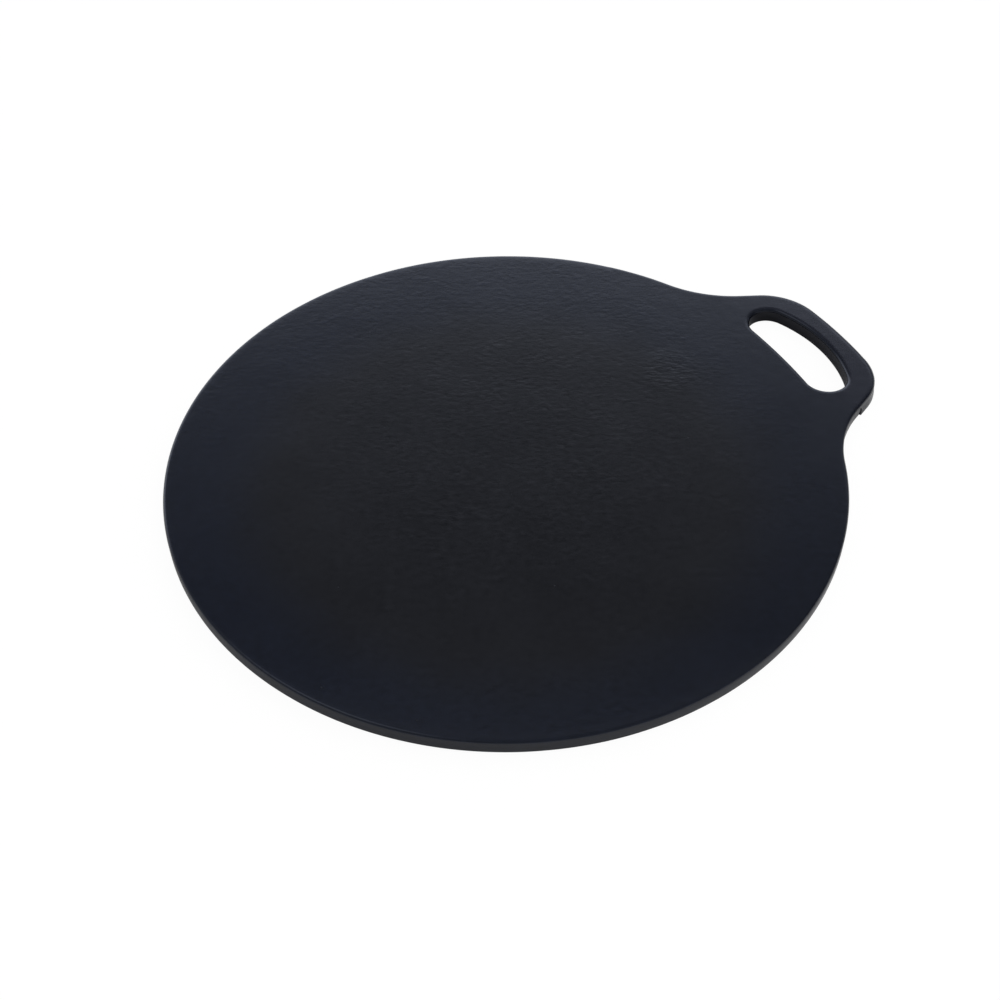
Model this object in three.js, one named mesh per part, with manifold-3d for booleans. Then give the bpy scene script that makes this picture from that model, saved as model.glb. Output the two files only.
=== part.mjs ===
// Round cast iron griddle with a loop handle, poured as one casting.
//
// Millimetres. The origin is the centre of the flat cooking face, +X runs along the handle
// and +Z points up out of the cooking face, so the griddle stands on the plane z = -CASTING_HEIGHT.

import * as THREE from 'three';
import { mergeVertices } from 'three/addons/utils/BufferGeometryUtils.js';
import Module from 'manifold-3d';

// Plate
const PLATE_RADIUS = 190.5;
const PLATE_THICKNESS = 4.5;
const CASTING_HEIGHT = 9.5;
const TOP_EDGE_RADIUS = 2;

// Ring under the plate's edge, which the griddle stands on
const RIM_WIDTH = 11;
const RIM_INNER_DRAFT_ANGLE = 12;
const RIM_CHAMFER_HEIGHT = 1.5;
const RIM_CHAMFER_WIDTH = 3.5;
const RECESS_FILLET_RADIUS = 3;

// Handle, measured from the plate's edge line
const FLANK_STATION = 19.5;
const FLANK_ANGLE = 25.2;
const SIDE_BAR_WIDTH = 15;
const NECK_FILLET_RADIUS = 74.3;
const GRIP_WIDTH = 14.6;
const GRIP_CORNER_RADIUS = 36.5;
const GRIP_END_RADIUS = 267;

// Finger slot
const SLOT_SETBACK = 1.3;
const SLOT_WIDTH = 30.1;
const SLOT_INNER_SIDE_RADIUS = 364;
const SLOT_OUTER_SIDE_RADIUS = 83.1;
const SLOT_END_RADIUS = 12.6;
const SLOT_TOP_EDGE_RADIUS = 2.5;
const SLOT_BOTTOM_EDGE_RADIUS = 1;

// Deeper grip, which starts past the plate where the rim's chamfer stops and flares towards its foot
const GRIP_START = 14.5;
const GRIP_TOP_INSET = 0.3;
const GRIP_FLARE = 0.8;
const GRIP_BOTTOM_EDGE_RADIUS = 1;

// Fineness of the facets, and how far a cutting tool runs past what it cuts
const CHORD_ERROR = 0.03;
const EDGE_STEPS = 4;
const LATHE_SEGMENTS = 120;
const OVERRUN = 5;

const { abs, acos, atan2, ceil, cos, sin, sqrt, tan, PI } = Math;
const radians = THREE.MathUtils.degToRad;

const wasm = await Module();
wasm.setup();

// Solids

/** Solid from a closed three.js geometry. */
function solidOf(geometry) {
  geometry.deleteAttribute('normal');
  geometry.deleteAttribute('uv');
  const merged = mergeVertices(geometry);
  return new wasm.Manifold(new wasm.Mesh({
    numProp: merged.getAttribute('position').itemSize,
    vertProperties: new Float32Array(merged.getAttribute('position').array),
    triVerts: new Uint32Array(merged.getIndex().array),
  }));
}

/** three.js geometry from a solid. */
function geometryOf(solid) {
  const mesh = solid.getMesh();
  const geometry = new THREE.BufferGeometry();
  geometry.setAttribute('position', new THREE.BufferAttribute(mesh.vertProperties, mesh.numProp));
  geometry.setIndex(new THREE.BufferAttribute(mesh.triVerts, 1));
  geometry.computeVertexNormals();
  return geometry;
}

/**
 * Solid through a stack of contours, listed from the lowest level up.
 * contourAt(grow) gives a counterclockwise contour moved outwards by grow.
 */
function stackedSolid(contourAt, levels) {
  const contours = levels.map(({ grow }) => contourAt(grow));
  const positions = contours.flatMap(
    (contour, k) => contour.flatMap((point) => [point.x, point.y, levels[k].z]),
  );
  const count = contours[0].length;
  const top = (levels.length - 1) * count;
  const indices = [];
  for (const [a, b, c] of THREE.ShapeUtils.triangulateShape(contours[0], [])) indices.push(c, b, a);
  for (const [a, b, c] of THREE.ShapeUtils.triangulateShape(contours.at(-1), [])) {
    indices.push(top + a, top + b, top + c);
  }
  for (let low = 0; low < top; low += count) {
    for (let i = 0; i < count; i += 1) {
      const next = (i + 1) % count;
      indices.push(low + i, low + next, low + count + next);
      indices.push(low + i, low + count + next, low + count + i);
    }
  }
  const geometry = new THREE.BufferGeometry();
  geometry.setAttribute('position', new THREE.Float32BufferAttribute(positions, 3));
  geometry.setIndex(indices);
  return solidOf(geometry);
}

/**
 * Levels of a rounded edge between a wall and the flat face at height z, from the wall to the face.
 * up is 1 for a top edge and -1 for a bottom edge; growth is -1 on a solid and 1 on a cutter that flares.
 */
function roundedEdge(z, radius, up, growth) {
  return Array.from({ length: EDGE_STEPS + 1 }, (_, step) => {
    const angle = (step / EDGE_STEPS) * (PI / 2);
    return { z: z - up * radius * (1 - sin(angle)), grow: growth * radius * (1 - cos(angle)) };
  });
}

// Contours

/** Arc of a contour; side is 1 where its centre lies inside the contour and -1 where it lies outside. */
function arc(x, y, radius, from, to, side = 1, keepEnd = false) {
  return { x, y, radius, from, to, side, keepEnd };
}

/** The same arc mirrored across the X axis, walked so that the contour stays counterclockwise. */
function mirrored({ x, y, radius, from, to, side }, keepEnd = false) {
  return arc(x, -y, radius, -to, -from, side, keepEnd);
}

/** Points of a closed chain of arcs, moved outwards by grow. */
function contourOf(arcs, grow) {
  return arcs.flatMap(({ x, y, radius, from, to, side, keepEnd }) => {
    const step = 2 * acos(1 - CHORD_ERROR / radius);
    const count = ceil(abs(to - from) / step);
    return Array.from({ length: keepEnd ? count + 1 : count }, (_, i) => {
      const angle = from + (to - from) * (i / count);
      const reach = radius + side * grow;
      return new THREE.Vector2(x + reach * cos(angle), y + reach * sin(angle));
    });
  });
}

/** Point on a line at a distance from a target; crossing is -1 for the first and 1 for the second. */
function pointAtDistance(start, direction, target, distance, crossing) {
  const offset = start.clone().sub(target);
  const along = offset.dot(direction);
  const travel = -along + crossing * sqrt(along ** 2 - offset.lengthSq() + distance ** 2);
  return start.clone().addScaledVector(direction, travel);
}

const slotInnerX = PLATE_RADIUS - SLOT_SETBACK;
const slotOuterX = slotInnerX + SLOT_WIDTH;
const handleEndX = slotOuterX + GRIP_WIDTH;

/** Finger slot: a slightly bowed side next to the plate, a rounder far side, and two round ends. */
function slotArcs() {
  const innerX = slotInnerX - SLOT_INNER_SIDE_RADIUS;
  const outerX = slotOuterX - SLOT_OUTER_SIDE_RADIUS;
  const apart = outerX - innerX;
  const toInner = SLOT_INNER_SIDE_RADIUS + SLOT_END_RADIUS;
  const toOuter = SLOT_OUTER_SIDE_RADIUS - SLOT_END_RADIUS;
  const endX = innerX + (toInner ** 2 - toOuter ** 2 + apart ** 2) / (2 * apart);
  const endY = sqrt(toInner ** 2 - (endX - innerX) ** 2);
  const innerAngle = atan2(endY, endX - innerX);
  const outerAngle = atan2(endY, endX - outerX);
  const end = arc(endX, endY, SLOT_END_RADIUS, outerAngle, innerAngle + PI);
  return [
    arc(outerX, 0, SLOT_OUTER_SIDE_RADIUS, -outerAngle, outerAngle),
    end,
    arc(innerX, 0, SLOT_INNER_SIDE_RADIUS, innerAngle, -innerAngle, -1),
    mirrored(end),
  ];
}

/** Half of the slot's length, from the middle to the tip of its round end. */
function slotReach() {
  const [, end] = slotArcs();
  return end.y + end.radius;
}

/** Outline of the whole casting: plate, necks, flanks, corners and grip. */
function outlineArcs() {
  const slope = radians(FLANK_ANGLE);
  const outwards = new THREE.Vector2(sin(slope), cos(slope));
  const towardsEnd = new THREE.Vector2(cos(slope), -sin(slope));
  const flank = new THREE.Vector2(PLATE_RADIUS + FLANK_STATION, slotReach() + SIDE_BAR_WIDTH);

  const neckStart = flank.clone().addScaledVector(outwards, NECK_FILLET_RADIUS);
  const plateCentre = new THREE.Vector2();
  const neck = pointAtDistance(
    neckStart, towardsEnd.clone().negate(), plateCentre, PLATE_RADIUS + NECK_FILLET_RADIUS, -1,
  );

  const cornerStart = flank.clone().addScaledVector(outwards, -GRIP_CORNER_RADIUS);
  const endCentre = new THREE.Vector2(handleEndX - GRIP_END_RADIUS, 0);
  const corner = pointAtDistance(
    cornerStart, towardsEnd, endCentre, GRIP_END_RADIUS - GRIP_CORNER_RADIUS, 1,
  );

  const flankAngle = PI / 2 - slope;
  const plateAngle = neck.angle();
  const endAngle = corner.clone().sub(endCentre).angle();
  const upperCorner = arc(corner.x, corner.y, GRIP_CORNER_RADIUS, endAngle, flankAngle, 1, true);
  const upperNeck = arc(neck.x, neck.y, NECK_FILLET_RADIUS, flankAngle + PI, plateAngle + PI, -1);
  return [
    arc(endCentre.x, endCentre.y, GRIP_END_RADIUS, -endAngle, endAngle),
    upperCorner,
    upperNeck,
    arc(0, 0, PLATE_RADIUS, plateAngle, 2 * PI - plateAngle),
    mirrored(upperNeck, true),
    mirrored(upperCorner),
  ];
}

const outlineAt = (grow) => contourOf(outlineArcs(), grow);
const slotAt = (grow) => contourOf(slotArcs(), grow);

// Parts of the casting

/** Plate and handle at full height, with a rounded top edge and a chamfered bottom edge. */
function slab() {
  return stackedSolid(outlineAt, [
    { z: -CASTING_HEIGHT, grow: -RIM_CHAMFER_WIDTH },
    { z: -CASTING_HEIGHT + RIM_CHAMFER_HEIGHT, grow: 0 },
    ...roundedEdge(0, TOP_EDGE_RADIUS, 1, -1),
  ]);
}

/** Full depth of the grip: a flared wall that stands proud of the slab's chamfer past GRIP_START. */
function deepGrip() {
  const foot = roundedEdge(-CASTING_HEIGHT, GRIP_BOTTOM_EDGE_RADIUS, -1, -1).reverse();
  const full = stackedSolid(outlineAt, [
    ...foot.map(({ z, grow }) => ({ z, grow: grow + GRIP_FLARE })),
    { z: -TOP_EDGE_RADIUS, grow: -GRIP_TOP_INSET },
  ]);
  const start = PLATE_RADIUS + GRIP_START;
  const length = handleEndX - start + OVERRUN;
  const width = 2 * (slotReach() + SIDE_BAR_WIDTH + NECK_FILLET_RADIUS);
  const room = new THREE.BoxGeometry(length, width, 2 * (CASTING_HEIGHT + OVERRUN));
  room.translate(start + length / 2, 0, 0);
  return full.intersect(solidOf(room));
}

/** Recess under the plate, inside the ring that it stands on. */
function recess() {
  const draft = radians(RIM_INNER_DRAFT_ANGLE);
  const mouth = PLATE_RADIUS - RIM_WIDTH;
  const filletZ = -PLATE_THICKNESS - RECESS_FILLET_RADIUS;
  const filletRise = (filletZ + CASTING_HEIGHT) * sin(draft);
  const filletR = mouth - (RECESS_FILLET_RADIUS + filletRise) / cos(draft);
  const profile = [
    new THREE.Vector2(0, -CASTING_HEIGHT - OVERRUN),
    new THREE.Vector2(mouth + OVERRUN * tan(draft), -CASTING_HEIGHT - OVERRUN),
  ];
  for (let step = 0; step <= EDGE_STEPS; step += 1) {
    const angle = draft + (step / EDGE_STEPS) * (PI / 2 - draft);
    profile.push(new THREE.Vector2(
      filletR + RECESS_FILLET_RADIUS * cos(angle),
      filletZ + RECESS_FILLET_RADIUS * sin(angle),
    ));
  }
  profile.push(new THREE.Vector2(0, -PLATE_THICKNESS));
  const lathe = new THREE.LatheGeometry(profile, LATHE_SEGMENTS);
  lathe.rotateX(PI / 2);
  return solidOf(lathe);
}

/** Cutter for the finger slot, flared at both faces so that it leaves rounded edges. */
function slotCutter() {
  const bottom = roundedEdge(-CASTING_HEIGHT, SLOT_BOTTOM_EDGE_RADIUS, -1, 1).reverse();
  const top = roundedEdge(0, SLOT_TOP_EDGE_RADIUS, 1, 1);
  return stackedSolid(slotAt, [
    { z: -CASTING_HEIGHT - OVERRUN, grow: SLOT_BOTTOM_EDGE_RADIUS },
    ...bottom,
    ...top,
    { z: OVERRUN, grow: SLOT_TOP_EDGE_RADIUS },
  ]);
}

const casting = slab().add(deepGrip()).subtract(recess()).subtract(slotCutter());

const seasonedIron = new THREE.MeshStandardMaterial({ color: 0x20222a, roughness: 0.35, metalness: 0 });
const tawaCasting = new THREE.Mesh(geometryOf(casting), seasonedIron);
tawaCasting.name = 'tawa_casting';

const tawa = new THREE.Group();
tawa.add(tawaCasting);

export default tawa;
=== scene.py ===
"""Cast iron tawa: a round griddle plate and its loop handle, poured as one casting.

One half of the casting is modelled, from the centre line towards +Y, and then mirrored. A section
of the edge is swept round the outline, a second one round the finger slot and a third one round
the recess under the plate. The flat faces between them are filled and cut into small squares,
which then take the ripples of the cast skin. All sizes are in metres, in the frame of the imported
part.
"""

import logging
from dataclasses import dataclass, field
from enum import Enum
from math import atan2, ceil, cos, pi, radians, sin, sqrt, tan
from typing import Any, Union

import bmesh
import bpy
from mathutils import Matrix, Vector, noise


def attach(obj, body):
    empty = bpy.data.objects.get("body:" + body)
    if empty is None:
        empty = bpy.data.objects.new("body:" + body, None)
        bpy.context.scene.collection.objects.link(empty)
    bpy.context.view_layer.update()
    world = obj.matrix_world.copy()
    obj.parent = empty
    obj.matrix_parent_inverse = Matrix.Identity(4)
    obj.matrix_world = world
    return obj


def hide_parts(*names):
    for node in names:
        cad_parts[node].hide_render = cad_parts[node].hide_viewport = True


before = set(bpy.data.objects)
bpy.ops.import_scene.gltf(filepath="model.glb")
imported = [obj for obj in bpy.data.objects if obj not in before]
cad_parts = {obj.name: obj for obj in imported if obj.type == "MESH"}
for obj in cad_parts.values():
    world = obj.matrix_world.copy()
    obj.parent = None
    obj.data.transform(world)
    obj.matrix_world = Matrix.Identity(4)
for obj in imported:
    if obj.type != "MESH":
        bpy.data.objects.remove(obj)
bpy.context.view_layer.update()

CASTING_NODE = "tawa_casting"
IRON_SLOT = "seasoned_iron"
BODY = "root"
WELD = 1e-6
X_AXIS = Vector((1.0, 0.0, 0.0))
Y_AXIS = Vector((0.0, 1.0, 0.0))
Z_AXIS = Vector((0.0, 0.0, 1.0))

SLOT_CENTRE = (0.2042, 0.0, 0.0)
SLOT_SHAPE = (1.0, 0.37, 0.0)

# Sockets of a Mix node for colours: share, first and second colour, and the result
MIX_INPUTS = (0, 6, 7)
MIX_OUTPUT = 2

log = logging.getLogger("tawa")

Geometry = list[Any]
Triple = tuple[float, float, float]
Span = tuple[float, float]
Colour = tuple[float, float, float, float]


# Shader maths


@dataclass(frozen=True)
class Wire:
    """One output of a node, on which Python's operators add Math nodes."""

    graph: "Graph"
    socket: bpy.types.NodeSocket

    def __add__(self, other: "Number") -> "Wire":
        """Sum of two values."""
        return self.graph.maths("ADD", self, other)

    def __sub__(self, other: "Number") -> "Wire":
        """This value less another."""
        return self.graph.maths("SUBTRACT", self, other)

    def __rsub__(self, other: "Number") -> "Wire":
        """Another value less this one."""
        return self.graph.maths("SUBTRACT", other, self)

    def __mul__(self, other: "Number") -> "Wire":
        """Product of two values."""
        return self.graph.maths("MULTIPLY", self, other)

    __radd__ = __add__
    __rmul__ = __mul__


Number = Union[float, Wire]


class Graph:
    """Node tree of a material or of the world."""

    def __init__(self, tree: bpy.types.NodeTree) -> None:
        """Empties the tree.

        Args:
            tree: The node tree to fill.
        """
        self.tree = tree
        self.tree.nodes.clear()

    def node(
        self,
        kind: str,
        settings: dict[str, Any] | None = None,
        inputs: dict[Union[str, int], Any] | None = None,
    ) -> bpy.types.Node:
        """Adds a node.

        Args:
            kind: Type name of the node.
            settings: Properties to set before the sockets.
            inputs: Values or wires of the sockets, by name or place.

        Returns:
            The new node.
        """
        made = self.tree.nodes.new(kind)
        for name, value in (settings or {}).items():
            setattr(made, name, value)
        for name, value in (inputs or {}).items():
            if isinstance(value, Wire):
                self.tree.links.new(value.socket, made.inputs[name])
            else:
                made.inputs[name].default_value = value
        return made

    def wire(self, kind: str, output: Union[str, int] = 0, **parts: Any) -> Wire:
        """Adds a node and gives one of its outputs.

        Args:
            kind: Type name of the node.
            output: Name or place of the output.
            **parts: The settings and inputs of node().

        Returns:
            The output as a wire.
        """
        return Wire(self, self.node(kind, **parts).outputs[output])

    def maths(self, operation: str, *values: Number) -> Wire:
        """Adds a Math node.

        Args:
            operation: Name of the Math node's operation.
            *values: Its operands.

        Returns:
            The result.
        """
        return self.wire(
            "ShaderNodeMath",
            settings={"operation": operation},
            inputs=dict(enumerate(values)),
        )

    def vector_maths(self, operation: str, *values: Any, output: str = "Vector") -> Wire:
        """Adds a Vector Math node.

        Args:
            operation: Name of the Vector Math node's operation.
            *values: Its operands.
            output: "Vector", or "Value" where the operation gives a number.

        Returns:
            The result.
        """
        return self.wire(
            "ShaderNodeVectorMath",
            output,
            settings={"operation": operation},
            inputs=dict(enumerate(values)),
        )

    def smooth_step(self, value: Wire, start: float, end: float) -> Wire:
        """Soft step from 0 at start to 1 at end.

        Args:
            value: The value that is compared.
            start: Where the step begins.
            end: Where the step is complete.

        Returns:
            The height of the step.
        """
        return self.wire(
            "ShaderNodeMapRange",
            settings={"interpolation_type": "SMOOTHSTEP"},
            inputs={"Value": value, "From Min": start, "From Max": end},
        )

    def distance(self, place: Wire, centre: Triple, weights: Triple = (1.0, 1.0, 0.0)) -> Wire:
        """Distance from a point, with a weight for each axis.

        Args:
            place: The coordinates that are measured.
            centre: The point.
            weights: Factor for each axis, where 0 leaves the axis out.

        Returns:
            The distance.
        """
        offset = self.vector_maths("SUBTRACT", place, centre)
        weighted = self.vector_maths("MULTIPLY", offset, weights)
        return self.vector_maths("LENGTH", weighted, output="Value")

    def blend(self, share: Wire, first: Any, second: Any) -> Wire:
        """Mixes two colours.

        Args:
            share: 0 for the first colour and 1 for the second.
            first: A colour or a wire.
            second: A colour or a wire.

        Returns:
            The mixed colour.
        """
        mixer = self.node("ShaderNodeMix", settings={"data_type": "RGBA"})
        for index, value in zip(MIX_INPUTS, (share, first, second)):
            if isinstance(value, Wire):
                self.tree.links.new(value.socket, mixer.inputs[index])
            else:
                mixer.inputs[index].default_value = value
        return Wire(self, mixer.outputs[MIX_OUTPUT])

    def grain(self, place: Wire, size: float, detail: float, roughness: float = 0.5) -> Wire:
        """Noise with features of a real size.

        Args:
            place: Coordinates in metres.
            size: Size of a feature in metres.
            detail: Number of finer octaves.
            roughness: Weight of the finer octaves.

        Returns:
            Noise from 0 to 1.
        """
        inputs = {"Vector": place, "Scale": 1.0 / size, "Detail": detail, "Roughness": roughness}
        return self.wire("ShaderNodeTexNoise", inputs=inputs)


def colour(red: float, green: float, blue: float) -> Colour:
    """Linear colour as a socket takes it."""
    return (red, green, blue, 1.0)


@dataclass(frozen=True)
class SeasonedIron:
    """Cast iron under a burnt-on film of oil: satin, nearly black, bluer towards the rim."""

    # Tint: from the plate's middle to its rim, then the worn grip, and painted shade that darkens
    # the wall of the slot
    centre_colour: Colour = colour(0.0076, 0.0078, 0.0098)
    rim_colour: Colour = colour(0.0046, 0.0062, 0.0124)
    tint_centre: Triple = (-0.0069, -0.0133, 0.0)
    tint_span: Span = (0.118, 0.168)
    tint_wander: float = 0.03
    grip_colour: Colour = colour(0.0078, 0.0088, 0.0158)
    grip_span: Span = (0.194, 0.212)
    level_span: Span = (0.9, 0.99)
    slot_span: Span = (0.0168, 0.0198)
    slot_tilt: Span = (0.3, 0.9)
    # painted shade: how much darker the slot's wall is painted, for the shade that falls between
    # plate and grip
    slot_wall_painted_shade: float = 0.55
    # Broad clouds in the tint and the roughness
    cloud_size: float = 0.045
    cloud_detail: float = 4.0
    cloud_fineness: float = 0.55
    cloud_depth: float = 0.3
    roughness: float = 0.2
    roughness_spread: float = 0.08
    # Orange peel, drawn out along the dressing marks, calmer at the rim and smoother at the handle
    dressing_turn: float = radians(-27.3)
    peel_size: float = 0.0031
    peel_detail: float = 1.5
    peel_height: float = 0.000092
    peel_stretch: Triple = (1.45, 1.0, 1.0)
    # painted shade and light: how much the peel's low spots are darkened and its high spots
    # lightened in the colour
    peel_painted_shade: float = 1.5
    gust_size: float = 0.012
    gust_depth: float = 2.6
    calm_span: Span = (0.05, 0.13)
    calm_share: float = 0.6
    smooth_span: Span = (0.135, 0.19)
    smooth_share: float = 0.35
    # Grit of the mould's sand
    grit_size: float = 0.0009
    grit_height: float = 0.000014
    # The one patch of short waves near the handle
    patch_centre: Triple = (0.1225, 0.0185, 0.0)
    patch_span: Span = (0.01125, 0.025)
    patch_stretch: Triple = (1.9, 1.0, 1.0)
    patch_size: float = 0.0026
    patch_height: float = 0.00011
    # Sparse pits
    pit_spacing: float = 0.011
    pit_radius: float = 0.0008
    pit_floor: float = 0.2
    pit_share: float = 0.14
    pit_depth: float = 0.000018
    pit_roughness: float = 0.25
    pit_darkness: float = 0.3

    def material(self) -> bpy.types.Material:
        """Builds the finish.

        Returns:
            A new material.
        """
        made = bpy.data.materials.new(IRON_SLOT)
        made.use_nodes = True
        graph = Graph(made.node_tree)
        place = graph.wire("ShaderNodeTexCoord", "Object")
        reach = graph.distance(place, (0.0, 0.0, 0.0))
        clouds = graph.grain(place, self.cloud_size, self.cloud_detail, self.cloud_fineness)
        skin = self._skin(graph, place, reach)
        pits = self._pits(graph, place)
        bump = graph.node(
            "ShaderNodeBump",
            inputs={
                "Strength": 1.0,
                "Distance": 1.0,
                "Height": self._relief(graph, place, skin, pits),
            },
        )
        rough = (clouds - 0.5) * self.roughness_spread + self.roughness
        shader = graph.node(
            "ShaderNodeBsdfPrincipled",
            inputs={
                "Base Color": self._tint(graph, place, reach, clouds, skin, pits),
                "Roughness": rough + pits * self.pit_roughness,
                "Normal": Wire(graph, bump.outputs["Normal"]),
            },
        )
        surface = Wire(graph, shader.outputs[0])
        graph.node("ShaderNodeOutputMaterial", inputs={"Surface": surface})
        return made

    def _pits(self, graph: Graph, place: Wire) -> Wire:
        """Sparse round pits of the cast skin.

        Args:
            graph: The material's nodes.
            place: Coordinates in metres.

        Returns:
            1 in the middle of a pit and 0 outside the pits.
        """
        cells = graph.node(
            "ShaderNodeTexVoronoi",
            settings={"feature": "F1"},
            inputs={"Vector": place, "Scale": 1.0 / self.pit_spacing},
        )
        radius = self.pit_radius / self.pit_spacing
        away = Wire(graph, cells.outputs["Distance"])
        near = 1.0 - graph.smooth_step(away, self.pit_floor * radius, radius)
        picked = Wire(graph, cells.outputs["Color"])
        chance = graph.wire("ShaderNodeSeparateColor", inputs={"Color": picked})
        return near * graph.maths("LESS_THAN", chance, self.pit_share)

    def _drawn_out(self, graph: Graph, place: Wire, stretch: Triple) -> Wire:
        """Coordinates in which the features of a noise are drawn out along the dressing marks.

        Args:
            graph: The material's nodes.
            place: Coordinates in metres.
            stretch: Size of a feature along, across and through the face, as shares of its own.

        Returns:
            The coordinates.
        """
        return graph.wire(
            "ShaderNodeMapping",
            settings={"vector_type": "TEXTURE"},
            inputs={"Vector": place, "Rotation": (0.0, 0.0, self.dressing_turn), "Scale": stretch},
        )

    def _skin(self, graph: Graph, place: Wire, reach: Wire) -> Wire:
        """Orange peel of the cast skin: strongest in the middle, in gusts, fainter at the handle.

        Args:
            graph: The material's nodes.
            place: Coordinates in metres.
            reach: Distance from the plate's axis.

        Returns:
            The peel, which swings about 0.
        """
        drawn = self._drawn_out(graph, place, self.peel_stretch)
        peel = graph.grain(drawn, self.peel_size, self.peel_detail)
        gusts = (graph.grain(place, self.gust_size, detail=1.0) - 0.5) * self.gust_depth + 1.0
        calm = graph.smooth_step(reach, *self.calm_span) * (1.0 - self.calm_share)
        along = graph.wire("ShaderNodeSeparateXYZ", "X", inputs={0: place})
        smoother = graph.smooth_step(along, *self.smooth_span) * (1.0 - self.smooth_share)
        return (peel - 0.5) * gusts * (1.0 - calm) * (1.0 - smoother)

    def _relief(self, graph: Graph, place: Wire, skin: Wire, pits: Wire) -> Wire:
        """Height of the fine relief that is too small for the mesh.

        Args:
            graph: The material's nodes.
            place: Coordinates in metres.
            skin: Orange peel of the cast skin.
            pits: Mask of the pits.

        Returns:
            Height in metres.
        """
        grit = graph.grain(place, self.grit_size, detail=1.0) * self.grit_height
        return skin * self.peel_height + grit + self._patch(graph, place) - pits * self.pit_depth

    def _patch(self, graph: Graph, place: Wire) -> Wire:
        """Height of the one patch of short parallel waves near the handle.

        Args:
            graph: The material's nodes.
            place: Coordinates in metres.

        Returns:
            Height in metres.
        """
        away = graph.vector_maths("DISTANCE", place, self.patch_centre, output="Value")
        inside = 1.0 - graph.smooth_step(away, *self.patch_span)
        drawn = self._drawn_out(graph, place, self.patch_stretch)
        waves = graph.grain(drawn, self.patch_size, detail=1.0)
        return inside * waves * self.patch_height

    def _tint(
        self,
        graph: Graph,
        place: Wire,
        reach: Wire,
        clouds: Wire,
        skin: Wire,
        pits: Wire,
    ) -> Wire:
        """Colour of the seasoning: neutral in the middle, blue at the rim, with painted shade on
        the wall of the slot.

        Args:
            graph: The material's nodes.
            place: Coordinates in metres.
            reach: Distance from the plate's axis.
            clouds: Broad noise from 0 to 1.
            skin: Orange peel, whose low spots are painted darker and high spots lighter: painted
                shade and light of the relief.
            pits: Mask of the pits.

        Returns:
            The colour.
        """
        wander = (clouds - 0.5) * self.tint_wander
        outward = graph.distance(place, self.tint_centre) + wander
        at_rim = graph.smooth_step(outward, *self.tint_span)
        plate = graph.blend(at_rim, self.centre_colour, self.rim_colour)
        facing = graph.wire("ShaderNodeTexCoord", "Normal")
        upward = graph.wire("ShaderNodeSeparateXYZ", "Z", inputs={0: facing})
        on_top = graph.smooth_step(upward, *self.level_span)
        worn = graph.smooth_step(reach, *self.grip_span) * on_top
        tint = graph.blend(worn, plate, self.grip_colour)
        from_slot = graph.distance(place, SLOT_CENTRE, SLOT_SHAPE)
        in_slot = 1.0 - graph.smooth_step(from_slot, *self.slot_span)
        on_wall = 1.0 - graph.smooth_step(upward, *self.slot_tilt)
        # painted shade and light: the peel's low spots are darkened and its high spots lightened
        clouds_and_peel_shade = (clouds - 0.5) * self.cloud_depth + skin * self.peel_painted_shade
        shade = clouds_and_peel_shade + 1.0 - pits * self.pit_darkness
        # painted shade: the slot's wall is painted darker, for the shade that falls between the
        # plate and the grip
        sooty = shade * (1.0 - in_slot * on_wall * self.slot_wall_painted_shade)
        return graph.wire(
            "ShaderNodeVectorMath",
            settings={"operation": "SCALE"},
            inputs={0: tint, "Scale": sooty},
        )


# Paths that a section of the edge is carried along


def loose_chain(mesh: bmesh.types.BMesh) -> Geometry:
    """Collects the edges that no face uses yet.

    Args:
        mesh: The mesh that is being made.

    Returns:
        Their vertices, in a fixed order, and the edges.
    """
    edges = [edge for edge in mesh.edges if edge.is_wire]
    return [*dict.fromkeys(vert for edge in edges for vert in edge.verts), *edges]


@dataclass(frozen=True)
class Turn:
    """Part of a path that goes round a centre."""

    centre: Vector
    radius: float
    angle: float

    def sweep(self, mesh: bmesh.types.BMesh, front: Geometry, pitch: float) -> Geometry:
        """Carries a section round the centre.

        Args:
            mesh: The mesh that the section belongs to.
            front: Vertices and edges of the section.
            pitch: Longest step along the path.

        Returns:
            The section at the end of the turn.
        """
        swept = bmesh.ops.spin(
            mesh,
            geom=front,
            cent=self.centre,
            axis=Z_AXIS,
            angle=self.angle,
            steps=ceil(abs(self.angle) * self.radius / pitch),
            use_merge=False,
        )
        return swept["geom_last"]


@dataclass(frozen=True)
class Run:
    """Straight part of a path."""

    travel: Vector

    def sweep(self, mesh: bmesh.types.BMesh, front: Geometry, pitch: float) -> Geometry:
        """Carries a section straight on.

        Args:
            mesh: The mesh that the section belongs to.
            front: Vertices and edges of the section.
            pitch: Longest step along the path.

        Returns:
            The section at the end of the run.
        """
        steps = ceil(self.travel.length / pitch)
        swept = bmesh.ops.spin(
            mesh,
            geom=front,
            axis=Z_AXIS,
            dvec=self.travel / steps,
            angle=0.0,
            steps=steps,
            use_merge=False,
        )
        return swept["geom_last"]


@dataclass(frozen=True)
class Corner:
    """Corner of a section: how far out it lies, how high, and how it is rounded."""

    out: float
    z: float
    radius: float = 0.0


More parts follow.
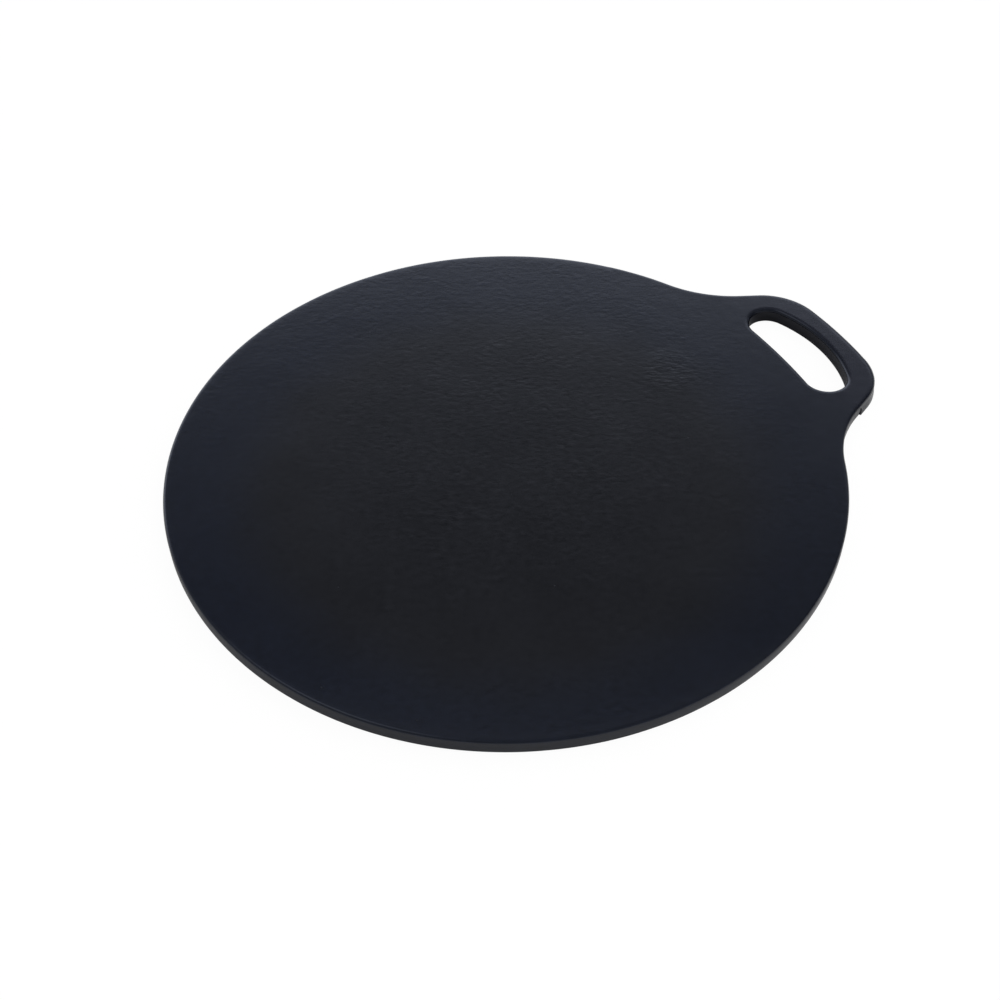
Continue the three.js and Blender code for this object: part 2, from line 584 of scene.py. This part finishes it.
@dataclass(frozen=True)
class Section:
    """Section of an edge, from the top face to the bottom face."""

    corners: tuple[Corner, ...]
    segments: int = 5

    def wire(self, mesh: bmesh.types.BMesh, foot: Vector, outward: Vector) -> Geometry:
        """Draws the section as a chain of edges.

        Args:
            mesh: The mesh to draw in, which holds no other loose edges.
            foot: Point of the outline that the section stands on.
            outward: Unit vector that points out of the outline there.

        Returns:
            Vertices and edges of the section.
        """
        places = [foot + outward * corner.out + Z_AXIS * corner.z for corner in self.corners]
        drawn = [mesh.verts.new(place) for place in places]
        for pair in zip(drawn, drawn[1:]):
            mesh.edges.new(pair)
        for k, corner in enumerate(self.corners):
            if corner.radius:
                bend = (places[k] - places[k - 1]).angle(places[k + 1] - places[k])
                bmesh.ops.bevel(
                    mesh,
                    geom=[drawn[k]],
                    offset=corner.radius * tan(bend / 2.0),
                    offset_type="OFFSET",
                    segments=self.segments,
                    profile=0.5,
                    affect="VERTICES",
                    material=-1,
                )
        return loose_chain(mesh)


# The casting


@dataclass(frozen=True)
class Plan:
    """Outline and finger slot seen from above, from the centre line towards +Y."""

    plate_radius: float = 0.1905
    flank_station: float = 0.0195
    flank_angle: float = radians(25.2)
    side_bar_width: float = 0.015
    neck_radius: float = 0.0743
    grip_width: float = 0.0146
    corner_radius: float = 0.0365
    end_radius: float = 0.267
    grip_start: float = 0.0145
    slot_setback: float = 0.0013
    slot_width: float = 0.0301
    slot_inner_radius: float = 0.364
    slot_outer_radius: float = 0.0831
    slot_end_radius: float = 0.0126

    @property
    def slot_inner_x(self) -> float:
        """Side of the slot next to the plate, on the centre line."""
        return self.plate_radius - self.slot_setback

    @property
    def slot_outer_x(self) -> float:
        """Side of the slot next to the grip, on the centre line."""
        return self.slot_inner_x + self.slot_width

    @property
    def handle_end_x(self) -> float:
        """Far end of the handle."""
        return self.slot_outer_x + self.grip_width

    @property
    def end_centre(self) -> Vector:
        """Centre of the arc at the handle's end."""
        return Vector((self.handle_end_x - self.end_radius, 0.0, 0.0))

    @property
    def flank_out(self) -> Vector:
        """Unit vector out of the flank."""
        return Vector((sin(self.flank_angle), cos(self.flank_angle), 0.0))

    @property
    def flank_along(self) -> Vector:
        """Unit vector along the flank, away from the plate."""
        return Vector((cos(self.flank_angle), -sin(self.flank_angle), 0.0))

    @property
    def flank_point(self) -> Vector:
        """Point that the flank's line goes through."""
        across = self.slot_end_centre.y + self.slot_end_radius + self.side_bar_width
        return Vector((self.plate_radius + self.flank_station, across, 0.0))

    @property
    def slot_end_centre(self) -> Vector:
        """Centre of the slot's round end, which touches the inner and the outer side.

        Returns:
            The centre.
        """
        inner = self.slot_inner_x - self.slot_inner_radius
        outer = self.slot_outer_x - self.slot_outer_radius
        to_inner = self.slot_inner_radius + self.slot_end_radius
        to_outer = self.slot_outer_radius - self.slot_end_radius
        along = (to_inner**2 - to_outer**2 + (outer - inner) ** 2) / (2.0 * (outer - inner))
        return Vector((inner + along, sqrt(to_inner**2 - along**2), 0.0))

    @staticmethod
    def _at_distance(
        start: Vector,
        direction: Vector,
        target: Vector,
        distance: float,
        way: int,
    ) -> Vector:
        """Point on a line at a distance from a target.

        Args:
            start: Point on the line.
            direction: Unit vector along the line.
            target: Point that the distance is measured from.
            distance: The distance.
            way: -1 for the first crossing and 1 for the second.

        Returns:
            The point.
        """
        offset = start - target
        along = offset.dot(direction)
        travel = -along + way * sqrt(along**2 - offset.length_squared + distance**2)
        return start + direction * travel

    @property
    def neck_centre(self) -> Vector:
        """Centre of the fillet between the plate and the flank.

        Returns:
            The centre.
        """
        start = self.flank_point + self.flank_out * self.neck_radius
        reach = self.plate_radius + self.neck_radius
        return self._at_distance(start, -self.flank_along, Vector(), reach, -1)

    @property
    def corner_centre(self) -> Vector:
        """Centre of the grip's corner, which touches the flank and the end's arc.

        Returns:
            The centre.
        """
        start = self.flank_point - self.flank_out * self.corner_radius
        reach = self.end_radius - self.corner_radius
        return self._at_distance(start, self.flank_along, self.end_centre, reach, 1)

    @property
    def grip_end(self) -> Vector:
        """Point of the flank where the deeper grip ends and the rim's section begins."""
        travel = (self.plate_radius + self.grip_start - self.flank_point.x) / self.flank_along.x
        return self.flank_point + self.flank_along * travel

    def grip_inset(self, place: Vector) -> tuple[float, float]:
        """Place of a point relative to the grip's outer wall.

        Args:
            place: The point.

        Returns:
            Distance in from the wall, and a share that falls from 1 at the handle's end to 0 where
            the corner meets the flank and stays 0 beyond.
        """
        point = Vector((place.x, abs(place.y), 0.0))
        normal = self.corner_centre - self.end_centre
        end_angle = atan2(normal.y, normal.x)
        flank_angle = pi / 2.0 - self.flank_angle
        from_corner = point - self.corner_centre
        if from_corner.x * normal.y - from_corner.y * normal.x > 0.0:
            return self.end_radius - (point - self.end_centre).length, 1.0
        angle = atan2(from_corner.y, from_corner.x)
        share = 0.0
        if end_angle < angle < flank_angle:
            share = (flank_angle - angle) / (flank_angle - end_angle)
        return self.corner_radius - from_corner.length, share

    def grip_path(self) -> list[Union[Turn, Run]]:
        """Path from the handle's end to the end of the deeper grip.

        Returns:
            Its moves in order.
        """
        normal = self.corner_centre - self.end_centre
        end_angle = atan2(normal.y, normal.x)
        flank_start = self.corner_centre + self.flank_out * self.corner_radius
        return [
            Turn(self.end_centre, self.end_radius, end_angle),
            Turn(self.corner_centre, self.corner_radius, pi / 2.0 - self.flank_angle - end_angle),
            Run(self.grip_end - flank_start),
        ]

    def rim_path(self, start: Vector) -> list[Union[Turn, Run]]:
        """Path from a point of the flank round the neck and the plate to the centre line.

        Args:
            start: The point of the flank.

        Returns:
            Its moves in order.
        """
        plate_angle = atan2(self.neck_centre.y, self.neck_centre.x)
        flank_end = self.neck_centre - self.flank_out * self.neck_radius
        return [
            Run(flank_end - start),
            Turn(self.neck_centre, self.neck_radius, plate_angle - (pi / 2.0 - self.flank_angle)),
            Turn(Vector(), self.plate_radius, pi - plate_angle),
        ]

    def slot_path(self) -> list[Union[Turn, Run]]:
        """Path round the slot, from the side of the grip to the side of the plate.

        Returns:
            Its moves in order.
        """
        outer = Vector((self.slot_outer_x - self.slot_outer_radius, 0.0, 0.0))
        inner = Vector((self.slot_inner_x - self.slot_inner_radius, 0.0, 0.0))
        to_end = self.slot_end_centre - outer
        from_inner = self.slot_end_centre - inner
        outer_angle = atan2(to_end.y, to_end.x)
        inner_angle = atan2(from_inner.y, from_inner.x)
        return [
            Turn(outer, self.slot_outer_radius, outer_angle),
            Turn(self.slot_end_centre, self.slot_end_radius, inner_angle + pi - outer_angle),
            Turn(inner, self.slot_inner_radius, -inner_angle),
        ]


@dataclass(frozen=True)
class Ripples:
    """One layer of relief that the casting's real surface has."""

    size: float
    depth: float
    shift: Vector

    def at(self, place: Vector) -> float:
        """Depth of the layer at a place, from 0 to its full depth."""
        swing = noise.noise(place / self.size + self.shift)
        return self.depth * (0.5 + 0.5 * max(-1.0, min(1.0, swing)))


@dataclass
class Casting:
    """The whole tawa: plate, base ring and loop handle."""

    plan: Plan = field(default_factory=Plan)
    height: float = 0.0095
    plate_thickness: float = 0.0045
    ring_width: float = 0.011
    ring_draft: float = radians(12.0)
    recess_fillet: float = 0.003
    top_radius: float = 0.002
    grip_top_radius: float = 0.0036
    slot_top_radius: float = 0.0024
    slot_bottom_radius: float = 0.001
    chamfer_height: float = 0.0015
    chamfer_width: float = 0.0035
    arris_radius: float = 0.0009
    flare_start: float = 0.0038
    flare: float = 0.0008
    step_length: float = 0.0007
    droop_reach: float = 0.0045
    droop_until: float = 0.142875
    droop: float = 0.00008
    margin: float = 0.001
    edge_pitch: float = 0.002
    corner_pitch: float = 0.0012
    face_pitch: float = 0.0016
    under_pitch: float = 0.004
    layers: tuple[Ripples, ...] = (
        Ripples(0.075, 0.00014, Vector((3.1, 7.7, 1.3))),
        Ripples(0.017, 0.00004, Vector((9.4, 2.6, 5.2))),
        Ripples(0.0052, 0.000035, Vector((1.9, 4.8, 8.8))),
    )

    def build(self) -> bpy.types.Object:
        """Makes the mesh.

        Returns:
            The casting, at the origin.
        """
        mesh = bmesh.new()
        self._outer_edge(mesh)
        self._slot_edge(mesh)
        self._recess(mesh)
        self._flat_face(mesh, -self.height, self.under_pitch)
        self._flat_face(mesh, 0.0, self.face_pitch)
        self._mirror(mesh)
        self._soften_grip(mesh)
        self._wrinkle(mesh)
        data = bpy.data.meshes.new("casting")
        data.from_pydata(*self._in_order(mesh), shade_flat=False)
        mesh.free()
        made = bpy.data.objects.new("casting", data)
        bpy.context.scene.collection.objects.link(made)
        return made

    def _outer_edge(self, mesh: bmesh.types.BMesh) -> None:
        """Sweeps the grip's section and then the rim's section round the outline.

        Args:
            mesh: The half casting.
        """
        low = -self.height
        grip = Section((
            Corner(-self.top_radius - self.margin, 0.0),
            Corner(0.0, 0.0, self.top_radius),
            Corner(0.0, -self.flare_start, self.arris_radius),
            Corner(self.flare, low, self.arris_radius),
            Corner(self.flare - self.arris_radius - self.margin, low),
        ))
        rim = Section((
            Corner(-self.top_radius - self.margin, 0.0),
            Corner(0.0, 0.0, self.top_radius),
            Corner(0.0, low + self.chamfer_height, self.arris_radius),
            Corner(-self.chamfer_width, low, self.arris_radius),
            Corner(-self.chamfer_width - self.arris_radius - self.margin, low),
        ))
        end = Vector((self.plan.handle_end_x, 0.0, 0.0))
        front = grip.wire(mesh, end, X_AXIS)
        for move in self.plan.grip_path():
            front = move.sweep(mesh, front, self.corner_pitch)
        start = self.plan.grip_end - self.plan.flank_along * self.step_length
        back = rim.wire(mesh, start, self.plan.flank_out)
        chains = [part for part in [*front, *back] if isinstance(part, bmesh.types.BMEdge)]
        bmesh.ops.bridge_loops(mesh, edges=chains)
        for move in self.plan.rim_path(start):
            back = move.sweep(mesh, back, self.edge_pitch)

    def _slot_edge(self, mesh: bmesh.types.BMesh) -> None:
        """Sweeps the slot's section round the slot.

        Args:
            mesh: The half casting.
        """
        low = -self.height
        section = Section((
            Corner(self.slot_top_radius + self.margin, 0.0),
            Corner(0.0, 0.0, self.slot_top_radius),
            Corner(0.0, low, self.slot_bottom_radius),
            Corner(self.slot_bottom_radius + self.margin, low),
        ))
        start = Vector((self.plan.slot_outer_x, 0.0, 0.0))
        front = section.wire(mesh, start, X_AXIS)
        for move in self.plan.slot_path():
            front = move.sweep(mesh, front, self.corner_pitch)

    def _recess(self, mesh: bmesh.types.BMesh) -> None:
        """Spins the recess under the plate, with the ring's inner wall.

        Args:
            mesh: The half casting.
        """
        mouth = self.plan.plate_radius - self.ring_width
        roof = mouth - (self.height - self.plate_thickness) * tan(self.ring_draft)
        section = Section((
            Corner(mouth + self.arris_radius + self.margin, -self.height),
            Corner(mouth, -self.height, self.arris_radius),
            Corner(roof, -self.plate_thickness, self.recess_fillet),
            Corner(0.0, -self.plate_thickness),
        ))
        front = section.wire(mesh, Vector(), X_AXIS)
        drawn = (part for part in front if isinstance(part, bmesh.types.BMEdge))
        spoke = max(drawn, key=lambda edge: edge.calc_length())
        cuts = ceil(spoke.calc_length() / self.under_pitch) - 1
        bmesh.ops.subdivide_edges(mesh, edges=[spoke], cuts=cuts)
        Turn(Vector(), mouth, pi).sweep(mesh, loose_chain(mesh), self.under_pitch)

    def _flat_face(self, mesh: bmesh.types.BMesh, level: float, pitch: float) -> None:
        """Fills the flat face between the open edges at one level and cuts it into squares.

        Args:
            mesh: The half casting.
            level: Height of the face.
            pitch: Size of the squares.
        """
        bmesh.ops.remove_doubles(mesh, verts=mesh.verts[:], dist=WELD)
        rim = [
            edge
            for edge in mesh.edges
            if edge.is_boundary
            and all(abs(vert.co.z - level) < WELD for vert in edge.verts)
            and any(abs(vert.co.y) > WELD for vert in edge.verts)
        ]
        ends = [vert for edge in rim for vert in edge.verts if abs(vert.co.y) < WELD]
        ends.sort(key=lambda vert: vert.co.x)
        spans = [mesh.edges.new(pair) for pair in zip(ends[::2], ends[1::2])]
        faces = bmesh.ops.edgeloop_fill(mesh, edges=[*rim, *spans])["faces"]
        for axis in (X_AXIS, Y_AXIS):
            faces = self._cut_rows(mesh, faces, axis, pitch)

    @staticmethod
    def _cut_rows(mesh: bmesh.types.BMesh, faces: Geometry, axis: Vector, pitch: float) -> Geometry:
        """Cuts faces at even steps along an axis.

        Args:
            mesh: The mesh that the faces belong to.
            faces: The faces to cut.
            axis: Unit vector across the cuts.
            pitch: Longest step.

        Returns:
            All the faces after the cuts.
        """
        reach = [vert.co.dot(axis) for face in faces for vert in face.verts]
        count = ceil((max(reach) - min(reach)) / pitch)
        done: Geometry = []
        for k in range(1, count):
            place = min(reach) + (max(reach) - min(reach)) * k / count
            edges = dict.fromkeys(edge for face in faces for edge in face.edges)
            verts = dict.fromkeys(vert for face in faces for vert in face.verts)
            cut = bmesh.ops.bisect_plane(
                mesh,
                geom=[*faces, *edges, *verts],
                dist=WELD,
                plane_co=axis * place,
                plane_no=axis,
            )
            parts = [part for part in cut["geom"] if isinstance(part, bmesh.types.BMFace)]
            faces = []
            for part in parts:
                beyond = part.calc_center_bounds().dot(axis) > place
                (faces if beyond else done).append(part)
        return [*done, *faces]

    @staticmethod
    def _mirror(mesh: bmesh.types.BMesh) -> None:
        """Mirrors the half casting across the centre line and welds the two halves.

        Args:
            mesh: The half casting.
        """
        for vert in mesh.verts:
            if abs(vert.co.y) < WELD:
                vert.co.y = 0.0
        everything = [*mesh.verts, *mesh.edges, *mesh.faces]
        bmesh.ops.mirror(
            mesh,
            geom=everything,
            matrix=Matrix.Identity(4),
            merge_dist=WELD,
            axis="Y",
        )
        bmesh.ops.remove_doubles(mesh, verts=mesh.verts[:], dist=WELD)
        bmesh.ops.recalc_face_normals(mesh, faces=mesh.faces[:])

    def _soften_grip(self, mesh: bmesh.types.BMesh) -> None:
        """Gives the grip's outer top edge its larger radius, which fades out round its corners.

        Args:
            mesh: The whole casting.
        """
        for vert in mesh.verts:
            if vert.co.z < -self.top_radius - WELD:
                continue
            inset, share = self.plan.grip_inset(vert.co)
            radius = self.top_radius + share * (self.grip_top_radius - self.top_radius)
            if share > 0.0 and inset < radius:
                reach = radius - max(inset, 0.0)
                vert.co.z = sqrt(max(radius**2 - reach**2, 0.0)) - radius

    def _wrinkle(self, mesh: bmesh.types.BMesh) -> None:
        """Presses the ripples of the cast skin and the slight droop of the rim into the mesh.

        Args:
            mesh: The whole casting.
        """
        mesh.normal_update()
        start = self.plan.plate_radius - self.top_radius - self.droop_reach
        for vert in mesh.verts:
            place = vert.co.copy()
            depth = sum(layer.at(place) for layer in self.layers)
            past = (place.xy.length - start) / self.droop_reach
            if past > 0.0 and place.x < self.droop_until and place.z > -self.top_radius:
                depth += self.droop * min(past, 1.0) ** 2
            vert.co -= vert.normal * depth

    @staticmethod
    def _in_order(mesh: bmesh.types.BMesh) -> tuple[list[Vector], Geometry, list[list[int]]]:
        """Lists the mesh in an order that its places set, as the operators' own order varies.

        Args:
            mesh: The whole casting.

        Returns:
            Places of the vertices, no edges, and the numbers of each face's vertices.
        """
        verts = sorted(mesh.verts, key=lambda vert: vert.co.to_tuple())
        number = {vert: k for k, vert in enumerate(verts)}
        faces = sorted([number[vert] for vert in face.verts] for face in mesh.faces)
        return [vert.co for vert in verts], [], faces


# Surroundings


class Seen(Enum):
    """Kind of ray that the surroundings look different to."""

    CAMERA = "Is Camera Ray"
    GLOSSY = "Is Glossy Ray"


@dataclass(frozen=True)
class Studio:
    """White paper under soft light from both sides, with a lit wall behind that gloss shows."""

    # The paper, with a painted shadow inside the slot for every ray but the camera's
    floor_size: float = 12.0
    floor_sides: int = 96
    floor_level: float = -0.0095
    floor_colour: Colour = colour(0.68, 0.68, 0.68)
    floor_glow: float = 0.93
    glow_level: float = 1.03
    slot_shadow_colour: Colour = colour(0.43, 0.43, 0.46)
    slot_shadow_span: Span = (0.012, 0.022)
    # Soft light on everything that isn't glossy
    fill: float = 0.12
    key: float = 2.97
    counter: float = 0.4
    key_way: Triple = (0.978, 0.208, 0.0)
    # What the gloss shows: the wall and the ceiling above it, behind the object
    gloss_tint: Colour = colour(0.92, 1.0, 1.2)
    wall_way: Triple = (0.459, 0.888, 0.0)
    wall_side: Span = (0.35, 0.6)
    wall_level: float = 1.2
    wall_end: Span = (radians(33.6), radians(37.4))
    wall_right: Triple = (0.889, -0.459, 0.0)
    wall_tilt: float = 0.05
    ceiling_level: float = 0.19
    ceiling_dip: float = 0.13
    dip_span: Span = (radians(42.5), radians(51.2))
    ceiling_rise: float = 0.285
    rise_span: Span = (radians(52.5), radians(57.0))
    # The room in front of the object, the dark right side and the lamp above
    front_level: float = 0.2
    front_glow: float = 0.35
    front_span: Span = (radians(4.0), radians(30.0))
    right_span: Span = (0.55, 0.85)
    right_dimming: float = 0.8
    lamp_way: Triple = (-0.366, 0.211, 0.906)
    lamp_edge: Span = (0.925, 0.995)
    lamp_level: float = 0.7

    def build(self) -> None:
        """Makes the floor and the world."""
        mesh = bmesh.new()
        bmesh.ops.create_circle(
            mesh,
            cap_ends=True,
            segments=self.floor_sides,
            radius=self.floor_size,
        )
        bmesh.ops.translate(mesh, vec=Z_AXIS * self.floor_level, verts=mesh.verts[:])
        data = bpy.data.meshes.new("floor")
        mesh.to_mesh(data)
        mesh.free()
        floor = bpy.data.objects.new("floor", data)
        bpy.context.scene.collection.objects.link(floor)
        floor.data.materials.append(self._paper())
        self._light()

    def _paper(self) -> bpy.types.Material:
        """White paper that looks evenly lit to the camera and still takes the shadow, with a
        painted shadow inside the slot for the other rays.

        Returns:
            A new material.
        """
        made = bpy.data.materials.new("white_paper")
        made.use_nodes = True
        graph = Graph(made.node_tree)
        paper = graph.wire("ShaderNodeBsdfDiffuse", inputs={"Color": self.floor_colour})
        glow = graph.wire("ShaderNodeEmission", inputs={"Strength": self.glow_level})
        seen = graph.wire("ShaderNodeLightPath", Seen.CAMERA.value)
        place = graph.wire("ShaderNodeTexCoord", "Object")
        # painted shadow: the paper under the slot is darker for every ray but the camera's, for the
        # shadow of the plate and grip
        from_slot = graph.distance(place, SLOT_CENTRE, SLOT_SHAPE)
        under = (1.0 - graph.smooth_step(from_slot, *self.slot_shadow_span)) * (1.0 - seen)
        shade = graph.wire("ShaderNodeBsdfDiffuse", inputs={"Color": self.slot_shadow_colour})
        floor = graph.wire("ShaderNodeMixShader", inputs={0: under, 1: paper, 2: shade})
        lit = seen * self.floor_glow
        mixed = graph.wire("ShaderNodeMixShader", inputs={0: lit, 1: floor, 2: glow})
        graph.node("ShaderNodeOutputMaterial", inputs={"Surface": mixed})
        return made

    def _light(self) -> None:
        """World: soft light, stronger from the right, and what the gloss shows."""
        world = bpy.data.worlds.new("studio")
        bpy.context.scene.world = world
        world.use_nodes = True
        world.cycles.sampling_method = "NONE"
        graph = Graph(world.node_tree)
        direction = graph.wire("ShaderNodeTexCoord", "Generated")
        path = graph.node("ShaderNodeLightPath")
        camera = Wire(graph, path.outputs[Seen.CAMERA.value])
        glossy = Wire(graph, path.outputs[Seen.GLOSSY.value])
        side = self._towards(graph, direction, self.key_way)
        soft = graph.maths("MAXIMUM", side, side * -self.counter) * self.key + self.fill
        lit = (1.0 - glossy) * soft + glossy * self._gloss(graph, direction)
        strength = (1.0 - camera) * lit + camera * self.glow_level
        tint = graph.blend(glossy, colour(1.0, 1.0, 1.0), self.gloss_tint)
        background = graph.wire(
            "ShaderNodeBackground",
            inputs={"Color": tint, "Strength": strength},
        )
        graph.node("ShaderNodeOutputWorld", inputs={"Surface": background})

    @staticmethod
    def _towards(graph: Graph, direction: Wire, way: Triple) -> Wire:
        """How far a direction points one way.

        Args:
            graph: The world's nodes.
            direction: Direction of the ray.
            way: Unit vector to compare with.

        Returns:
            Cosine of the angle between the two.
        """
        return graph.vector_maths("DOT_PRODUCT", direction, way, output="Value")

    def _gloss(self, graph: Graph, direction: Wire) -> Wire:
        """Brightness that a glossy ray finds: wall and ceiling behind, low glow in front, a lamp.

        Args:
            graph: The world's nodes.
            direction: Direction of the ray.

        Returns:
            The brightness.
        """
        split = graph.node("ShaderNodeSeparateXYZ", inputs={0: direction})
        rise = Wire(graph, split.outputs["Z"])
        right = graph.smooth_step(Wire(graph, split.outputs["X"]), *self.right_span)
        behind = graph.smooth_step(self._towards(graph, direction, self.wall_way), *self.wall_side)
        level = rise - self._towards(graph, direction, self.wall_right) * self.wall_tilt
        over_wall = graph.smooth_step(level, *map(sin, self.wall_end))
        dip = graph.smooth_step(rise, *map(sin, self.dip_span)) * self.ceiling_dip
        lift = graph.smooth_step(rise, *map(sin, self.rise_span)) * self.ceiling_rise
        ceiling = self.ceiling_level - dip + lift
        seen = (1.0 - over_wall) * self.wall_level + over_wall * ceiling
        low = 1.0 - graph.smooth_step(rise, *map(sin, self.front_span))
        around = behind * seen + (1.0 - behind) * (low * self.front_glow + self.front_level)
        lamp = graph.smooth_step(self._towards(graph, direction, self.lamp_way), *self.lamp_edge)
        return around * (1.0 - right * self.right_dimming) + lamp * self.lamp_level


@dataclass(frozen=True)
class Viewpoint:
    """Camera at the photograph's angle, for a square picture."""

    position: Triple = (-0.258816, -0.493953, 0.546626)
    target: Triple = (-0.017990, -0.027528, -0.000187)
    roll: float = radians(-0.612)
    lens: float = 50.0
    sensor: float = 36.0

    def build(self) -> None:
        """Makes the scene's camera."""
        data = bpy.data.cameras.new("camera")
        data.lens = self.lens
        data.sensor_width = self.sensor
        camera = bpy.data.objects.new("camera", data)
        bpy.context.scene.collection.objects.link(camera)
        place = Vector(self.position)
        facing = (Vector(self.target) - place).to_track_quat("-Z", "Y").to_matrix().to_4x4()
        turned = facing @ Matrix.Rotation(self.roll, 4, "Z")
        camera.matrix_world = Matrix.Translation(place) @ turned
        bpy.context.scene.camera = camera


def main() -> None:
    """Builds the object and its surroundings in order."""
    logging.basicConfig(level=logging.INFO, format="%(name)s: %(message)s")
    bpy.context.scene.view_settings.view_transform = "Standard"
    casting = Casting().build()
    casting.data.materials.append(SeasonedIron().material())
    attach(casting, BODY)
    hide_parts(CASTING_NODE)
    log.info("casting: %d faces", len(casting.data.polygons))
    Studio().build()
    Viewpoint().build()


if __name__ == "__main__":
    main()
